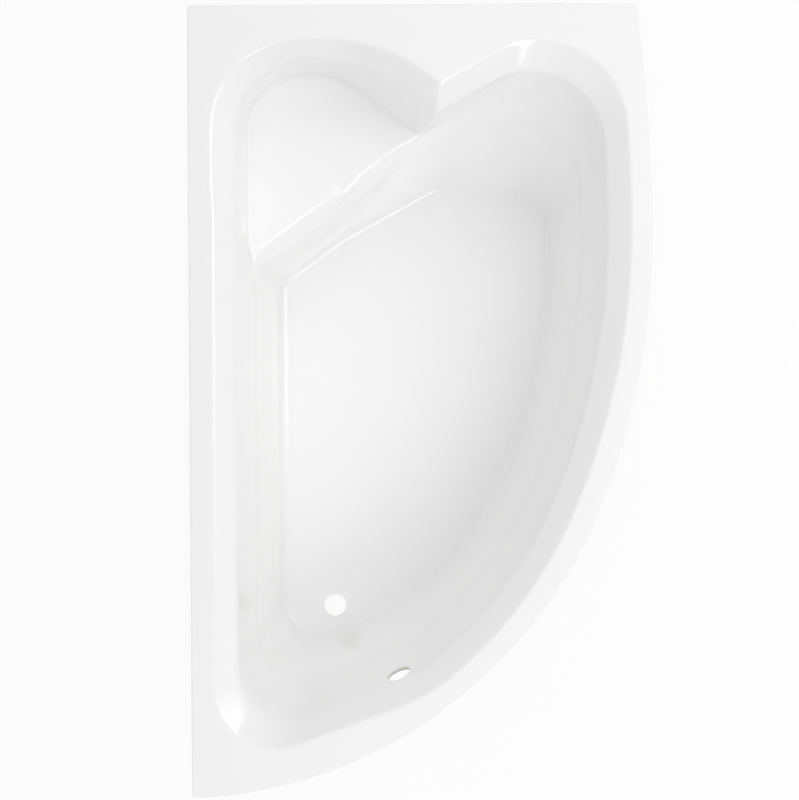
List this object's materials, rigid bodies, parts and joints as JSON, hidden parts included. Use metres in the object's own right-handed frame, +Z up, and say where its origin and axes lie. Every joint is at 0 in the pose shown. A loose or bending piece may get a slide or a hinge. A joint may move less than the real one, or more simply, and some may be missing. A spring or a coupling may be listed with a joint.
{
  "type": "corner bathtub",
  "caption": "Offset corner bath with a moulded shell, a seat ledge in the head corner, open waste and overflow holes, and a welded cradle on screw feet.",
  "frame": {"origin": "on the floor under the middle of the rim's box", "axes": "+Z up; +Y along the long wall towards the head and its seat; +X from the long wall towards the curved front"},
  "size_m": [1, 1.6995, 0.6],
  "materials": {
    "acrylic": "high gloss sanitary white",
    "glass_fibre": "rough sprayed glass fibre and resin",
    "chipboard": "raw chipboard sealed with resin",
    "galvanised_tube": "galvanised square tube",
    "zinc_plate": "zinc plated sheet",
    "zinc_screw": "zinc plated, yellow passivated",
    "zinc_thread": "bright zinc plated",
    "black_plastic": "moulded polyethylene",
    "foot_plastic": "moulded nylon"
  },
  "bodies": {
    "bath": {"acrylic_shell": "acrylic", "glass_fibre_backing": "glass_fibre", "base_board": "chipboard", "rim_board_head": "chipboard", "rim_board_wall": "chipboard", "rim_board_front": "chipboard", "rim_board_foot": "chipboard", "wall_rail": "galvanised_tube", "head_rail": "galvanised_tube", "middle_rail_wall_side": "galvanised_tube", "middle_rail_front_side": "galvanised_tube", "cross_rail_head": "galvanised_tube", "cross_rail_middle": "galvanised_tube", "cross_rail_foot": "galvanised_tube", "post_head_corner": "galvanised_tube", "post_front_corner": "galvanised_tube", "post_foot_corner": "galvanised_tube", "post_wall_head": "galvanised_tube", "post_wall_foot": "galvanised_tube", "post_front_head": "galvanised_tube", "post_front_middle": "galvanised_tube", "post_front_foot": "galvanised_tube", "post_plates": "zinc_plate", "post_screws": "zinc_screw", "board_screws": "zinc_screw", "tube_end_caps": "black_plastic", "weld_nuts": "zinc_thread", "lock_nuts": "zinc_thread"},
    "pad_wall_head": {"foot_pad_wall_head": "foot_plastic"},
    "screw_wall_head": {"foot_screw_wall_head": "zinc_thread"},
    "pad_front_head": {"foot_pad_front_head": "foot_plastic"},
    "screw_front_head": {"foot_screw_front_head": "zinc_thread"},
    "pad_wall_middle": {"foot_pad_wall_middle": "foot_plastic"},
    "screw_wall_middle": {"foot_screw_wall_middle": "zinc_thread"},
    "pad_front_middle": {"foot_pad_front_middle": "foot_plastic"},
    "screw_front_middle": {"foot_screw_front_middle": "zinc_thread"},
    "pad_wall_foot": {"foot_pad_wall_foot": "foot_plastic"},
    "screw_wall_foot": {"foot_screw_wall_foot": "zinc_thread"},
    "pad_front_foot": {"foot_pad_front_foot": "foot_plastic"},
    "screw_front_foot": {"foot_screw_front_foot": "zinc_thread"}
  },
  "joints": [
    {"name": "height_wall_head", "type": "slide", "parent": "bath", "child": "pad_wall_head", "axis": [0, 0, -1], "range_m": [-0.012, 0.025]},
    {"name": "turn_wall_head", "type": "hinge", "parent": "pad_wall_head", "child": "screw_wall_head", "pos_m": [-0.43, 0.45, 0.05], "axis": [0, 0, -1], "range_deg": [-2474, 5148]},
    {"name": "height_front_head", "type": "slide", "parent": "bath", "child": "pad_front_head", "axis": [0, 0, -1], "range_m": [-0.012, 0.025]},
    {"name": "turn_front_head", "type": "hinge", "parent": "pad_front_head", "child": "screw_front_head", "pos_m": [0.4421, 0.45, 0.05], "axis": [0, 0, -1], "range_deg": [-2474, 5148]},
    {"name": "height_wall_middle", "type": "slide", "parent": "bath", "child": "pad_wall_middle", "axis": [0, 0, -1], "range_m": [-0.012, 0.025]},
    {"name": "turn_wall_middle", "type": "hinge", "parent": "pad_wall_middle", "child": "screw_wall_middle", "pos_m": [-0.43, -0.06, 0.05], "axis": [0, 0, -1], "range_deg": [-2474, 5148]},
    {"name": "height_front_middle", "type": "slide", "parent": "bath", "child": "pad_front_middle", "axis": [0, 0, -1], "range_m": [-0.012, 0.025]},
    {"name": "turn_front_middle", "type": "hinge", "parent": "pad_front_middle", "child": "screw_front_middle", "pos_m": [0.38182, -0.06, 0.05], "axis": [0, 0, -1], "range_deg": [-2474, 5148]},
    {"name": "height_wall_foot", "type": "slide", "parent": "bath", "child": "pad_wall_foot", "axis": [0, 0, -1], "range_m": [-0.012, 0.025]},
    {"name": "turn_wall_foot", "type": "hinge", "parent": "pad_wall_foot", "child": "screw_wall_foot", "pos_m": [-0.43, -0.56, 0.05], "axis": [0, 0, -1], "range_deg": [-2474, 5148]},
    {"name": "height_front_foot", "type": "slide", "parent": "bath", "child": "pad_front_foot", "axis": [0, 0, -1], "range_m": [-0.012, 0.025]},
    {"name": "turn_front_foot", "type": "hinge", "parent": "pad_front_foot", "child": "screw_front_foot", "pos_m": [0.09658, -0.56, 0.05], "axis": [0, 0, -1], "range_deg": [-2474, 5148]}
  ],
  "couplings": [
    {"joint": "turn_wall_head", "follows": "height_wall_head", "rad_per_m": 3590.4},
    {"joint": "turn_front_head", "follows": "height_front_head", "rad_per_m": 3590.4},
    {"joint": "turn_wall_middle", "follows": "height_wall_middle", "rad_per_m": 3590.4},
    {"joint": "turn_front_middle", "follows": "height_front_middle", "rad_per_m": 3590.4},
    {"joint": "turn_wall_foot", "follows": "height_wall_foot", "rad_per_m": 3590.4},
    {"joint": "turn_front_foot", "follows": "height_front_foot", "rad_per_m": 3590.4}
  ]
}
